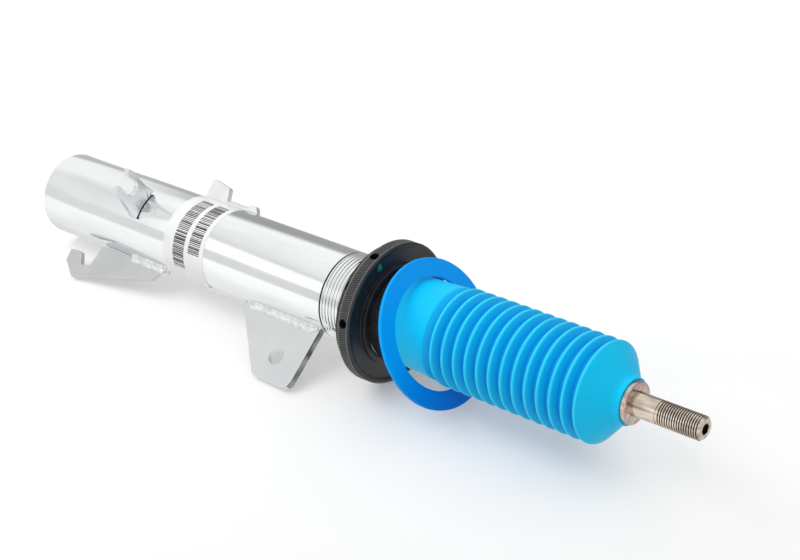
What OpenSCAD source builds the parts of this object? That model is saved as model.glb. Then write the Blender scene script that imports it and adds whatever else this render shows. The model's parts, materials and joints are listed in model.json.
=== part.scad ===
// Height-adjustable front strut with an inverted monotube damper, lying along +X.
// The origin is on the axis at the lower end of the strut tube, and +Z is up.

/* [Strut tube] */
// Outside diameter of the strut tube
tube_d = 55; // [54:0.5:57]
// Wall of the strut tube
tube_wall = 3; // [2.75:0.25:3.5]
// Length of the strut tube
tube_len = 300; // [296:1:306]
// Length of the turned seat for the knuckle's clamp
seat_len = 50; // [45:1:52]
// Depth of that seat
seat_depth = 0.3; // [0.3:0.05:0.5]
// Length of the threaded stretch
thread_len = 39.3; // [37:0.1:42]
// Width of the run-out groove before the thread
runout_w = 1.2; // [0.8:0.1:2]
// Depth of the run-out groove
runout_depth = 0.5; // [0.3:0.1:0.8]
// Distance from the lower end to the foot plate
foot_inset = 16; // [15:0.5:20]
// Thickness of the foot plate
foot_t = 12; // [10:0.5:14]

/* [Link plate] */
// Thickness of the link plate
link_t = 5; // [4:0.5:6]
// Distance from the link plate's upper edge to the threaded stretch
link_gap = 6.4; // [4:0.1:8]
// Length of the link plate's root along the tube
link_root_len = 64.3; // [62:0.1:68]
// Length of the link plate's outer edge
link_edge_len = 30; // [27:1:33]
// Distance of the outer edge from the tube's axis
link_reach = 68.2; // [66:0.1:72]
// Radius of the outer corners
link_corner_r = 6; // [4:0.5:8]
// Diameter of the link hole
link_hole_d = 10.5; // [10:0.1:12.5]
// Distance of the link hole from the tube's axis
link_hole_reach = 52; // [50:0.5:54]
// Distance of the link hole from the plate's upper edge
link_hole_edge = 20.3; // [19:0.1:22]
// Angle of both plates below the horizontal, on the -Y side
plate_angle = 37; // [35:1:40]

/* [Hose hook] */
// Thickness of the hose hook
hook_t = 4; // [3:0.5:5]
// Distance from the lower end to the hook's far edge
hook_x = 112.6; // [110:0.1:116]
// Length of the welded root, along the tube
hook_weld_len = 32; // [28:1:36]
// Distance from the lower end to the slot's bottom
hook_slot_x = 44; // [43:0.5:45]
// Width of the slot at its bottom
hook_slot_w = 9.4; // [9:0.1:11]
// Lean of the slot's lower side towards the lower end
hook_slot_lean = 6; // [4:0.5:7]
// Distance of the slot's bottom from the tube's axis
hook_slot_reach = 45.4; // [44:0.1:47]
// Radius of the slot's corners
hook_slot_r = 3; // [2:0.5:4]
// Distance of the outer corner from the tube's axis
hook_reach = 55.4; // [54:0.2:58]
// Width of the finger beside the slot
hook_finger_w = 9.7; // [9:0.1:11]
// Clearance of the finger over the tube
hook_finger_gap = 9.3; // [8:0.1:11]
// Height of the hook's far end over the tube
hook_end_h = 9.4; // [8:0.1:11]
// Gap between the tube and the stretch that is not welded
hook_root_gap = 0.6; // [0.3:0.1:1]

/* [Line clip] */
// Thickness of the line clip
clip_t = 4; // [3:0.5:5]
// Distance from the lower end to the clip
clip_x = 90; // [88:0.5:92]
// Angle of the clip's middle, from the horizontal on the -Y side
clip_angle = 56; // [54:1:60]
// Width of the clip
clip_w = 22; // [20:0.5:23]
// Depth that the clip's straight foot is let into the tube's weld
clip_foot_sink = 0.6; // [0.4:0.1:0.8]
// Distance of the notch from the clip's middle
clip_notch_side = 2.5; // [1:0.5:3]
// Diameter of the clip's round notch
clip_notch_d = 11; // [10:0.5:12]
// Distance of the notch's centre from the tube's axis
clip_notch_reach = 44.5; // [43:0.5:46]
// Distance of the horns' tips from the tube's axis
clip_reach = 54.6; // [53:0.2:56]

/* [Rear bracket] */
// Thickness of the rear bracket
rear_t = 4; // [3:0.5:5]
// Distance from the lower end to the rear bracket
rear_x = 118.7; // [116:0.1:121]
// Length of the bracket's root
rear_len = 48; // [46:1:51]
// Angle of the rear bracket, from the horizontal on the -Y side
rear_angle = 130; // [128:1:134]
// Height of the horn's tip over the tube
rear_horn_h = 13.1; // [11.5:0.2:15.5]
// Width of the horn at its tip
rear_horn_w = 16; // [15:0.5:18]
// Height of the low shoulder over the tube
rear_shoulder_h = 4.5; // [3.5:0.25:6.5]
// Width of the notch between horn and shoulder
rear_notch_w = 20; // [18:0.5:22]
// Height of the web that is left under the notch
rear_web_h = 1.5; // [1:0.25:2]

/* [Weld beads] */
// Leg of the beads beside the link plate
link_bead = 6.5; // [5:0.5:7]
// Leg of the beads beside the thin plates
thin_bead = 4; // [3:0.5:4.5]
// Leg of the bead behind the line clip
clip_bead = 8; // [7:0.5:9]
// Distance that the beads stop short of each end of a plate
bead_inset = 3; // [1:0.5:4]

/* [Spring perch] */
// Radial clearance of the perch and lock ring on the thread
thread_clear = 0.05; // [0.02:0.01:0.1]
// Distance from the back of the spring perch to the tube's open end
perch_back = 10.7; // [10:0.1:14]
// Width of the spring's seat with the rim round it
perch_w = 12; // [10:0.25:14]
// Thickness of the perch's rim
perch_rim_t = 9; // [8:0.5:10]
// Width of the bevel on both edges of the rim
perch_bevel = 1; // [0.5:0.1:1.5]
// Wall of the spigot that centres the spring
spigot_wall = 4; // [3.5:0.25:5]
// Height of the spigot over the spring's seat
spigot_h = 3; // [2:0.25:4]
// Depth of the spring's seat below the rim's front edge
seat_sink = 1.2; // [0.8:0.1:1.6]
// Diameter of the spanner holes
spanner_hole_d = 5.6; // [4:0.1:6]
// Depth of the spanner holes
spanner_hole_depth = 9; // [6:0.5:10]
// Number of spanner holes, and of slots in the lock ring
spanner_count = 6; // [4:1:8]
// Height of the lock ring over the tube
lock_w = 12.2; // [11:0.1:13]
// Thickness of the lock ring
lock_t = 4.2; // [3.5:0.1:5]
// Width of the lock ring's slots
lock_slot_w = 5; // [4:0.5:6]
// Depth of the lock ring's slots
lock_slot_depth = 3; // [2:0.5:4]

/* [Pad ring] */
// Width of the pad ring between its hole and its rim
pad_w = 11.3; // [10:0.1:13]
// Radial room between the pad ring's hole and the tube
pad_room = 5.8; // [5.7:0.1:7]
// Thickness of the pad ring
pad_t = 2.5; // [2:0.25:3]
// Lean of the pad ring towards the perch
pad_lean = 23.6; // [20:0.1:24]
// Turn of the pad ring towards the +Y side
pad_turn = 2.9; // [2:0.1:4]
// Distance from the tube's open end to the middle of the ring
pad_offset = 31.1; // [29:0.1:32]
// Drop of the ring's middle below the axis
pad_drop = 0.9; // [0.7:0.1:1]
// Offset of the ring's middle towards the -Y side
pad_side = 3.7; // [2:0.1:3.8]

/* [Dust boot] */
// Radial room between the boot's collar and the guide head's neck
collar_room = 0.8; // [0.5:0.1:1]
// Length of the boot's plain collar
boot_collar_len = 32.1; // [30:0.1:34]
// Flare of the collar towards the folds
collar_flare = 1.7; // [1:0.1:2]
// Height of the folds over the collar
fold_rise = 3; // [2.5:0.1:3.5]
// Depth of the folds
fold_depth = 4.8; // [4:0.1:4.9]
// Distance from fold to fold
fold_pitch = 8.37; // [8:0.01:8.8]
// Number of folds
fold_count = 13; // [11:1:15]
// Width of each fold's crest
fold_crest = 1.6; // [1:0.1:2]
// Wall of the boot
boot_wall = 1.2; // [1:0.1:1.4]
// Slope of the boot's tapered end against the axis
taper_angle = 50; // [48:1:52]
// Radius between the taper and the neck
neck_fillet = 6.5; // [5:0.5:7]
// Length of the boot's neck
neck_len = 3.2; // [3.1:0.1:4]

/* [Inner damper] */
// Wall of the damper tube
damper_wall = 2.5; // [2.25:0.25:3]
// Travel of the damper into the strut tube
travel = 70; // [60:1:72]
// Diameter of the piston rod
rod_d = 14; // [12.5:0.5:16]
// Diameter of the rod's threaded foot end
rod_foot_d = 12; // [11:0.5:12]
// Diameter of the rod's end that carries the piston
rod_head_d = 10; // [9:0.5:10.5]
// Radial clearance of running fits
run_clear = 0.05; // [0.02:0.01:0.09]
// Clearance between pieces that move apart
gap = 0.3; // [0.25:0.01:0.35]
// Length of the bump stop
bump_len = 50; // [45:1:55]
// Diameter of the bump stop
bump_d = 34; // [30:0.5:38]
// Room left between damper and bump stop at full travel
bump_room = 2; // [1:0.5:4]
// Length of the rod guide
guide_len = 18; // [16:0.5:20]
// Length of the rebound stop
rebound_len = 9; // [8:0.5:11]
// Length of the piston
piston_len = 14; // [12:0.5:16]
// Width of the piston band
band_w = 8; // [6:0.5:9]
// Thickness of the piston band
band_t = 1.5; // [1:0.1:2]
// Length of the floating piston
float_len = 12; // [10:0.5:14]
// Distance from the end stud's plug to the floating piston
gas_room = 33; // [30:1:36]

/* [Guides and seals] */
// Room that both guide bushes take between the strut tube and the damper
bush_wall = 2; // [1.75:0.25:2.5]
// Length of both guide bushes
bush_len = 22; // [18:1:24]
// Length of the guide head inside the tube
head_plug_len = 22; // [18:1:24]
// Thickness of the guide head's flange on the tube's end
head_flange_t = 8; // [6:0.5:9]
// Length of the guide head's neck
head_neck_len = 14; // [12:0.5:16]
// Wall of the guide head's neck
head_neck_wall = 2.2; // [2.1:0.1:2.6]
// Length of the wiper seal
wiper_len = 8; // [6:0.5:9]
// Thickness of the wiper seal
wiper_t = 1.3; // [1.1:0.1:1.5]

/* [End stud] */
// Depth of the end stud's plug inside the damper tube
plug_len = 15; // [12:0.5:18]
// Thickness of the end stud's flange
flange_t = 3; // [2.5:0.1:3.2]
// Diameter of the stud
stud_d = 14; // [12:0.5:15]
// Length of the stud beyond the boot washer
stud_len = 42.8; // [40:0.1:46]
// Length of the stud's thread
stud_thread_len = 26.6; // [24:0.1:29]
// Width of the groove below the thread
stud_groove_w = 1.2; // [0.8:0.1:2]
// Width of the bevel at the stud's tip
stud_bevel = 1.2; // [0.8:0.1:1.6]
// Hexagon socket in the tip, across flats
socket_af = 6; // [5:0.5:7]
// Depth of the hexagon socket
socket_depth = 7; // [5:0.5:9]
// Diameter of the boot washer
washer_d = 24.9; // [24:0.1:26]
// Length of the boot washer that stands out of the boot
washer_out = 3; // [2:0.1:5]

/* [Hidden] */
$fn = 96;
// Lets a cut run past the face that it opens
past = 1;

tube_r = tube_d / 2;
bore_r = tube_r - tube_wall;
thread_bore_r = tube_r + thread_clear;
damper_r = bore_r - bush_wall;
barrel_r = damper_r - damper_wall;
rod_r = rod_d / 2;
slide_r = damper_r + run_clear;
spigot_r = tube_r + spigot_wall;
head_neck_r = damper_r + head_neck_wall;
collar_r = head_neck_r + collar_room + boot_wall;
fold_r = collar_r + fold_rise;
valley_r = fold_r - fold_depth;

// Stations along the axis, from the lower end upwards
thread_start = tube_len - thread_len;
link_x1 = thread_start - link_gap;
link_root_x = link_x1 - link_root_len;
perch_x = tube_len - perch_back;
foot_top = foot_inset + foot_t;
bump_top = foot_top + bump_len;
damper_x = bump_top + bump_room + travel;
clip_seat_w = 2;
clip_lip = 2;
guide_x = damper_x + clip_lip + clip_seat_w;
guide_top = guide_x + guide_len;
rebound_x = guide_top + gap;
shim_len = 2;
shim_x = rebound_x + rebound_len;
piston_x = shim_x + shim_len;
piston_top = piston_x + piston_len;
piston_nut_len = 7;
piston_nut_af = 17;
piston_nut_x = piston_top + shim_len;

head_top = tube_len + head_flange_t;
boot_x = head_top + gap;
fold_x = boot_x + boot_collar_len + fold_pitch;
last_fold_x = fold_x + (fold_count - 1) * fold_pitch;
neck_r = washer_d / 2 + run_clear + boot_wall;
taper_x = last_fold_x + fold_crest / 2;
neck_x = taper_x + (fold_r - neck_r) / tan(taper_angle);
boot_top = neck_x + neck_len;

flange_room = 7.5;
flange_top = neck_x - flange_room;
damper_top = flange_top - flange_t;
plug_x = damper_top - plug_len;
washer_top = boot_top + washer_out;
stud_top = washer_top + stud_len;
float_x = plug_x - gas_room - float_len;

// Outline with rounded corners: each corner is [x, y, radius]
corner_steps = 6;
function unit(v) = v / norm(v);
function corner(p, q, s) =
    q[2] == 0 ? [[q[0], q[1]]] :
    let (
        at = [q[0], q[1]],
        to_p = unit([p[0], p[1]] - at),
        to_s = unit([s[0], s[1]] - at),
        half = acos(to_p * to_s) / 2,
        back = q[2] / tan(half),
        centre = at + unit(to_p + to_s) * q[2] / sin(half),
        from = to_p * back + at - centre,
        to = to_s * back + at - centre,
        sweep = 180 - 2 * half
    )
    [for (i = [0 : corner_steps])
        let (t = i / corner_steps)
        centre + (from * sin((1 - t) * sweep) + to * sin(t * sweep)) / sin(sweep)];
function rounded(c) = let (n = len(c))
    [for (i = [0 : n - 1]) each corner(c[(i + n - 1) % n], c[i], c[(i + 1) % n])];

// Round solid about the strut's axis; each point is [radius, distance along the axis]
module turned(points) rotate([0, 90, 0]) rotate_extrude() polygon(points);

// Plain ring about the axis, from x to x + len
module ring(x, len, outer, inner)
    turned([[inner, x], [outer, x], [outer, x + len], [inner, x + len]]);

// Plate that holds the axis, at an angle over the -Y side; its outline is [x, distance from the axis]
module radial_plate(angle, t) rotate([180 - angle, 0, 0]) linear_extrude(t, center = true) children();

// The outside of the strut tube, cut away where plates and beads stand on it
module tube_cut(extra = 0) rotate([0, 90, 0]) cylinder(r = tube_r + extra, h = tube_len);

/* Strut tube and what is welded to it */

module strut_tube() {
    bevel = 1;
    color([0.80, 0.82, 0.82])
    turned([
        [bore_r, 0], [tube_r - seat_depth, 0], [tube_r - seat_depth, seat_len], [tube_r, seat_len],
        [tube_r, thread_start - runout_w], [tube_r - runout_depth, thread_start - runout_w],
        [tube_r - runout_depth, thread_start], [tube_r, thread_start],
        [tube_r, tube_len - bevel], [tube_r - bevel, tube_len], [bore_r, tube_len]
    ]);
}

module tube_foot() {
    color([0.62, 0.63, 0.64]) ring(foot_inset, foot_t, bore_r, rod_foot_d / 2);
}

module link_outline() {
    root_step = 2;
    polygon(rounded([
        [link_root_x, tube_r - past, 0],
        [link_root_x, tube_r + root_step, link_corner_r],
        [link_x1 - link_edge_len, link_reach, link_corner_r],
        [link_x1, link_reach, link_corner_r],
        [link_x1, tube_r - past, 0]
    ]));
}

module link_plate() {
    color([0.78, 0.80, 0.80])
    difference() {
        radial_plate(-plate_angle, link_t) link_outline();
        radial_plate(-plate_angle, link_t + 2 * past)
            translate([link_x1 - link_hole_edge, link_hole_reach]) circle(d = link_hole_d);
        tube_cut();
    }
}

module hook_outline() {
    slot_end = hook_slot_x + hook_slot_w;
    finger_in = tube_r + hook_finger_gap;
    root_in = tube_r + hook_root_gap;
    end_out = tube_r + hook_end_h;
    lip_x = hook_slot_x - hook_slot_lean;
    finger_x = lip_x - hook_finger_w;
    finger_out = (finger_in + hook_reach) / 2;
    end_slope = 5;
    corner_r = 2;
    polygon(rounded([
        [finger_x, finger_in + 1, 1],
        [lip_x, finger_in, 1],
        [hook_slot_x, hook_slot_reach, hook_slot_r],
        [slot_end - 1, hook_slot_reach - 1.5, hook_slot_r],
        [slot_end, root_in, corner_r],
        [hook_x - hook_weld_len, root_in, 0],
        [hook_x - hook_weld_len, tube_r - past, 0],
        [hook_x, tube_r - past, 0],
        [hook_x, tube_r + 1, 1],
        [hook_x - end_slope, end_out, corner_r],
        [hook_slot_x - corner_r, hook_reach, corner_r],
        [finger_x + 1, finger_out, corner_r]
    ]));
}

module hose_hook() {
    color([0.72, 0.74, 0.75])
    difference() {
        radial_plate(-plate_angle, hook_t) hook_outline();
        tube_cut();
    }
}

// The clip's outline is [along the tube's circle, distance from the axis]
module clip_outline() {
    side = clip_w / 2;
    throat = clip_notch_d * 0.44;
    throat_reach = clip_notch_reach + clip_notch_d * 0.26;
    lip_h = 2.5;
    low_reach = clip_reach - 1;
    difference() {
        polygon(rounded([
            [-side, tube_r - clip_foot_sink, 0.5], [side, tube_r - clip_foot_sink, 0.5],
            [side, tube_r + lip_h, 1], [side - 0.8, tube_r + 3 * lip_h, 3],
            [side, clip_reach - 0.5, 1], [side - 2.6, clip_reach, 0.8], [side - 4, clip_reach - lip_h, 0.8],
            [clip_notch_side + throat, throat_reach, 0], [clip_notch_side - throat, throat_reach, 0],
            [9 - side, low_reach - lip_h / 2, 0.8], [7.4 - side, low_reach, 0.8], [4.8 - side, low_reach - 0.5, 1],
            [0.6 - side, tube_r + lip_h, 3]
        ]));
        translate([clip_notch_side, clip_notch_reach]) circle(d = clip_notch_d);
    }
}

// Carries an outline into a plane across the axis, at the clip's angle
module at_clip(x) translate([x, 0, 0]) rotate([90 - clip_angle, 0, 0]) rotate([90, 0, 90]) children();

module line_clip() {
    color([0.72, 0.74, 0.75])
    difference() {
        at_clip(clip_x) linear_extrude(clip_t) clip_outline();
        tube_cut();
    }
}

module rear_outline() {
    horn_x = rear_x + 1.5;
    horn_end = horn_x + rear_horn_w;
    notch_end = horn_end + rear_notch_w;
    x1 = rear_x + rear_len;
    horn = tube_r + rear_horn_h;
    shoulder = tube_r + rear_shoulder_h;
    web = tube_r + rear_web_h;
    drop = 3;
    polygon(rounded([
        [rear_x, tube_r - past, 0],
        [horn_x, horn, 2],
        [horn_end, horn - drop, 2],
        [horn_end + 2, web, 1],
        [notch_end, web, 1],
        [notch_end + 2, shoulder, 2],
        [x1 - 3, shoulder, 3],
        [x1, tube_r - past, 0]
    ]));
}

module rear_bracket() {
    color([0.70, 0.72, 0.73])
    difference() {
        radial_plate(rear_angle, rear_t) rear_outline();
        tube_cut();
    }
}

// Bead along the tube on one side (1 or -1) of a radial plate
module long_bead(angle, t, side, x, len, leg) {
    crown = 0.6;
    rotate([180 - angle, 0, 0]) translate([x, 0, 0]) rotate([90, 0, 90]) linear_extrude(len)
        polygon([
            [tube_r - leg, side * t / 2], [tube_r + leg, side * t / 2],
            [tube_r + leg * crown, side * (t / 2 + leg * crown)],
            [tube_r - leg * 0.1, side * (t / 2 + leg * 1.1)], [tube_r - leg, side * (t / 2 + leg)]
        ]);
}

// Bead behind the line clip, along its straight foot
module clip_foot_bead() {
    crown = 0.55;
    len = clip_w - 2;
    foot = tube_r - clip_foot_sink;
    at_clip(clip_x) rotate([0, -90, 0]) translate([0, 0, -len / 2]) linear_extrude(len)
        polygon([
            [0, foot - clip_bead], [0, foot + clip_bead],
            [-clip_bead * crown, foot + clip_bead * crown], [-clip_bead, foot], [-clip_bead, foot - clip_bead]
        ]);
}

module weld_beads() {
    color([0.66, 0.67, 0.68])
    difference() {
        union() {
            for (side = [-1, 1]) {
                long_bead(-plate_angle, link_t, side, link_root_x, link_root_len - bead_inset, link_bead);
                long_bead(-plate_angle, hook_t, side, hook_x - hook_weld_len, hook_weld_len, thin_bead);
            }
            long_bead(rear_angle, rear_t, -1, rear_x + bead_inset, rear_len - 2 * bead_inset, thin_bead);
            clip_foot_bead();
        }
        tube_cut();
    }
}

/* Bushes, guide head and seals in the strut tube */

module lower_guide_bush() {
    inset = 8;
    color([0.55, 0.45, 0.30]) ring(damper_x + inset, bush_len, bore_r, slide_r);
}

module upper_guide_bush() {
    color([0.55, 0.45, 0.30]) ring(tube_len - head_plug_len - bush_len, bush_len, bore_r, slide_r);
}

module guide_head() {
    inner = damper_r + gap;
    top = head_top + head_neck_len;
    bevel = 0.5;
    color([0.13, 0.13, 0.14])
    turned([
        [inner, tube_len - head_plug_len], [bore_r, tube_len - head_plug_len], [bore_r, tube_len],
        [tube_r - gap, tube_len], [tube_r - gap, head_top - bevel], [tube_r - gap - bevel, head_top],
        [head_neck_r, head_top], [head_neck_r, top],
        [slide_r + wiper_t, top], [slide_r + wiper_t, top - wiper_len], [inner, top - wiper_len]
    ]);
}

module wiper_seal() {
    top = head_top + head_neck_len;
    lip = 2;
    color([0.12, 0.12, 0.13])
    turned([
        [slide_r + wiper_t, top - wiper_len], [slide_r + wiper_t, top],
        [slide_r, top], [slide_r, top - lip],
        [damper_r + gap, top - lip - 1], [damper_r + gap, top - wiper_len]
    ]);
}

/* Rod and piston, fixed in the strut tube */

rod_washer_t = 2.5;
rod_nut_t = 10;
rod_nut_af = 19;
rod_foot_x = foot_inset - rod_washer_t - rod_nut_t - 2;
rod_head_top = piston_nut_x + piston_nut_len + 2;

module piston_rod() {
    bevel = 1;
    color([0.80, 0.80, 0.82])
    turned([
        [0, rod_foot_x], [rod_foot_d / 2 - bevel, rod_foot_x], [rod_foot_d / 2, rod_foot_x + bevel],
        [rod_foot_d / 2, foot_top], [rod_r, foot_top], [rod_r, shim_x], [rod_head_d / 2, shim_x],
        [rod_head_d / 2, rod_head_top - bevel], [rod_head_d / 2 - bevel, rod_head_top], [0, rod_head_top]
    ]);
}

// Hexagon nut about the axis, with its corners bevelled on the lower face
module hex_nut(x, len, af, bore_d) {
    corner_r = af / 2 / cos(30);
    bevel = corner_r - af / 2;
    difference() {
        intersection() {
            translate([x, 0, 0]) rotate([0, 90, 0]) cylinder(r = corner_r, h = len, $fn = 6);
            turned([
                [0, x], [af / 2, x], [corner_r + 0.01, x + bevel],
                [corner_r + 0.01, x + len - bevel], [af / 2, x + len], [0, x + len]
            ]);
        }
        translate([x - past, 0, 0]) rotate([0, 90, 0]) cylinder(d = bore_d, h = len + 2 * past);
    }
}

module rod_washer() {
    color([0.60, 0.61, 0.63]) ring(foot_inset - rod_washer_t, rod_washer_t, rod_foot_d, rod_foot_d / 2);
}

module rod_nut() {
    color([0.60, 0.61, 0.63]) hex_nut(foot_inset - rod_washer_t - rod_nut_t, rod_nut_t, rod_nut_af, rod_foot_d);
}

module bump_stop() {
    outer = bump_d / 2;
    waist = outer - 4;
    bulbs = 3;
    step = bump_len / bulbs;
    color([0.90, 0.85, 0.55])
    turned(concat(
        [[rod_r, foot_top]],
        [for (i = [0 : bulbs - 1]) each [
            [waist, foot_top + i * step], [outer, foot_top + (i + 0.25) * step],
            [outer, foot_top + (i + 0.75) * step], [waist, foot_top + (i + 1) * step - 0.01]
        ]],
        [[rod_r, bump_top]]
    ));
}

module rebound_stop() {
    outer = barrel_r - 6;
    lip = 1.5;
    color([0.30, 0.25, 0.20])
    turned([
        [rod_r, rebound_x], [outer - lip, rebound_x], [outer, rebound_x + lip],
        [outer, shim_x], [rod_r, shim_x]
    ]);
}

// Stack of spring discs that narrows towards one side
module shim_stack(x, flip) {
    discs = 4;
    widest = barrel_r - 4.5;
    step = 1.5;
    t = shim_len / discs;
    color([0.45, 0.47, 0.52])
    for (i = [0 : discs - 1])
        ring(x + (flip ? discs - 1 - i : i) * t, t, widest - step * i, rod_head_d / 2);
}

module compression_shims() shim_stack(shim_x, true);

module rebound_shims() shim_stack(piston_top, false);

piston_r = barrel_r - 0.4;

module piston() {
    ports = 6;
    port_d = 4;
    port_inset = 8.5;
    port_r = barrel_r - port_inset;
    band_x = piston_x + (piston_len - band_w) / 2;
    color([0.55, 0.56, 0.58])
    difference() {
        turned([
            [rod_head_d / 2, piston_x], [piston_r, piston_x], [piston_r, band_x],
            [barrel_r - run_clear - band_t, band_x], [barrel_r - run_clear - band_t, band_x + band_w],
            [piston_r, band_x + band_w], [piston_r, piston_top], [rod_head_d / 2, piston_top]
        ]);
        for (i = [0 : ports - 1])
            rotate([i * 360 / ports, 0, 0]) translate([piston_x - past, 0, 0]) rotate([0, 90, 0])
                translate([0, port_r, 0]) cylinder(d = port_d, h = piston_len + 2 * past);
    }
}

module piston_band() {
    color([0.15, 0.30, 0.25])
    ring(piston_x + (piston_len - band_w) / 2, band_w, barrel_r - run_clear, barrel_r - run_clear - band_t);
}

module piston_nut() {
    color([0.60, 0.61, 0.63]) hex_nut(piston_nut_x, piston_nut_len, piston_nut_af, rod_head_d);
}

/* Sliding damper */

module damper_tube() {
    groove = 1;
    color([0.75, 0.76, 0.78])
    turned([
        [barrel_r, damper_x], [damper_r - 0.5, damper_x], [damper_r, damper_x + 0.5],
        [damper_r, damper_top], [barrel_r, damper_top],
        [barrel_r, guide_x], [barrel_r + groove, guide_x],
        [barrel_r + groove, guide_x - clip_seat_w], [barrel_r, guide_x - clip_seat_w]
    ]);
}

module guide_clip() {
    mouth = 8;
    color([0.35, 0.36, 0.38])
    difference() {
        ring(guide_x - clip_seat_w, clip_seat_w, barrel_r + 1, barrel_r - 2);
        translate([guide_x - clip_seat_w - past, -mouth / 2, 0])
            cube([clip_seat_w + 2 * past, mouth, damper_r]);
    }
}

rod_seal_len = 5;
rod_seal_r = rod_r + 4;

module rod_guide() {
    color([0.50, 0.51, 0.53])
    turned([
        [rod_r + run_clear, guide_x], [barrel_r, guide_x], [barrel_r, guide_top],
        [rod_seal_r, guide_top], [rod_seal_r, guide_top - rod_seal_len], [rod_r + run_clear, guide_top - rod_seal_len]
    ]);
}

module rod_seal() {
    color([0.12, 0.12, 0.13])
    ring(guide_top - rod_seal_len, rod_seal_len, rod_seal_r, rod_r + run_clear);
}

float_ring_w = 4;
float_ring_depth = 2.5;
float_ring_x = float_x + (float_len - float_ring_w) / 2;

module floating_piston() {
    r = barrel_r - run_clear;
    groove_r = r - float_ring_depth;
    cup = 6;
    color([0.62, 0.63, 0.65])
    turned([
        [0, float_x], [r, float_x], [r, float_ring_x], [groove_r, float_ring_x],
        [groove_r, float_ring_x + float_ring_w], [r, float_ring_x + float_ring_w],
        [r, float_x + float_len], [r - cup, float_x + float_len], [r - cup, float_ring_x + 1], [0, float_ring_x + 1]
    ]);
}

module floating_piston_ring() {
    color([0.12, 0.12, 0.13])
    ring(float_ring_x, float_ring_w, barrel_r - run_clear, barrel_r - run_clear - float_ring_depth);
}

module end_stud() {
    r = stud_d / 2;
    thread_x = stud_top - stud_thread_len;
    groove = 0.7;
    shoulder = 3;
    color([0.56, 0.52, 0.44])
    difference() {
        turned([
            [0, plug_x], [barrel_r, plug_x], [barrel_r, damper_top], [damper_r, damper_top],
            [damper_r, damper_top + flange_t - 1.5], [damper_r - shoulder, flange_top], [r, flange_top],
            [r, thread_x - stud_groove_w], [r - groove, thread_x - stud_groove_w],
            [r - groove, thread_x], [r, thread_x],
            [r, stud_top - stud_bevel], [r - stud_bevel, stud_top], [0, stud_top]
        ]);
        translate([stud_top - socket_depth, 0, 0]) rotate([0, 90, 0])
            cylinder(r = socket_af / 2 / cos(30), h = socket_depth + past, $fn = 6);
    }
}

module boot_washer() {
    bevel = 0.5;
    r = washer_d / 2;
    x = flange_top + gap;
    inner = stud_d / 2 + run_clear;
    color([0.78, 0.66, 0.36])
    turned([
        [inner, x], [r, x], [r, washer_top - bevel], [r - bevel, washer_top], [inner, washer_top]
    ]);
}

/* Dust boot: outer and inner skins follow the same folds, one wall apart */

function folds(out) = [for (i = [0 : fold_count - 1])
    let (
        x = fold_x + i * fold_pitch,
        crest = fold_crest / 2 - out / 3,
        valley = fold_pitch / 2 - fold_crest / 2 - out / 3
    )
    each [
        [valley_r - out, x - valley], [fold_r - out, x - crest],
        [fold_r - out, x + crest], [valley_r - out, x + valley]
    ]];

function reversed(list) = [for (i = [len(list) - 1 : -1 : 0]) list[i]];

// One skin from the collar to the neck; the last fold runs out into the taper
function skin(inset) = concat(
    [
        [collar_r - inset, boot_x],
        [collar_r + collar_flare - inset, boot_x + boot_collar_len + fold_crest / 2 - inset / 3]
    ],
    [for (p = folds(inset)) if (p[1] < last_fold_x + fold_crest * 0.75) p],
    corner(
        [fold_r - inset, taper_x],
        [neck_r - inset, neck_x - inset * tan(taper_angle / 2), neck_fillet],
        [neck_r - inset, boot_top]
    ),
    [[neck_r - inset, boot_top]]
);

module dust_boot() {
    color([0.24, 0.79, 0.97])
    turned(concat(skin(0), reversed(skin(boot_wall))));
}

/* Threaded perch, its lock ring and the loose pad ring */

// Angle of the first spanner hole, from the horizontal on the -Y side
spanner_angle = 16;

module spring_perch() {
    r = spigot_r + perch_w;
    front = perch_x + perch_rim_t;
    seat = front - seat_sink;
    rim_w = 1.5;
    color([0.13, 0.13, 0.14])
    difference() {
        turned([
            [thread_bore_r, perch_x], [r - perch_bevel, perch_x], [r, perch_x + perch_bevel],
            [r, front - perch_bevel], [r - perch_bevel, front], [r - perch_bevel - rim_w, front],
            [r - perch_bevel - rim_w - seat_sink, seat], [spigot_r, seat],
            [spigot_r, seat + spigot_h - 0.5], [spigot_r - 0.5, seat + spigot_h],
            [thread_bore_r, seat + spigot_h]
        ]);
        for (i = [0 : spanner_count - 1])
            rotate([180 - spanner_angle - i * 360 / spanner_count, 0, 0])
                translate([perch_x + perch_rim_t / 2, r + past, 0]) rotate([90, 0, 0])
                    cylinder(d = spanner_hole_d, h = spanner_hole_depth + past);
    }
}

module lock_ring() {
    r = tube_r + lock_w;
    x = perch_x - gap - lock_t;
    bevel = 0.6;
    color([0.16, 0.16, 0.17])
    difference() {
        turned([
            [thread_bore_r, x], [r - bevel, x], [r, x + bevel],
            [r, x + lock_t], [thread_bore_r, x + lock_t]
        ]);
        for (i = [0 : spanner_count - 1])
            rotate([180 - spanner_angle - (i + 0.5) * 360 / spanner_count, 0, 0])
                translate([x - past, r - lock_slot_depth, -lock_slot_w / 2])
                    cube([lock_t + 2 * past, lock_slot_depth + past, lock_slot_w]);
    }
}

module pad_ring() {
    inner = tube_r + pad_room;
    color([0.0, 0.55, 0.96])
    translate([tube_len + pad_offset, -pad_side, -pad_drop])
    rotate([-pad_turn, 90 - pad_lean, 0])
    difference() {
        cylinder(r = inner + pad_w, h = pad_t, center = true);
        cylinder(r = inner, h = pad_t + 2 * past, center = true);
    }
}

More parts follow.
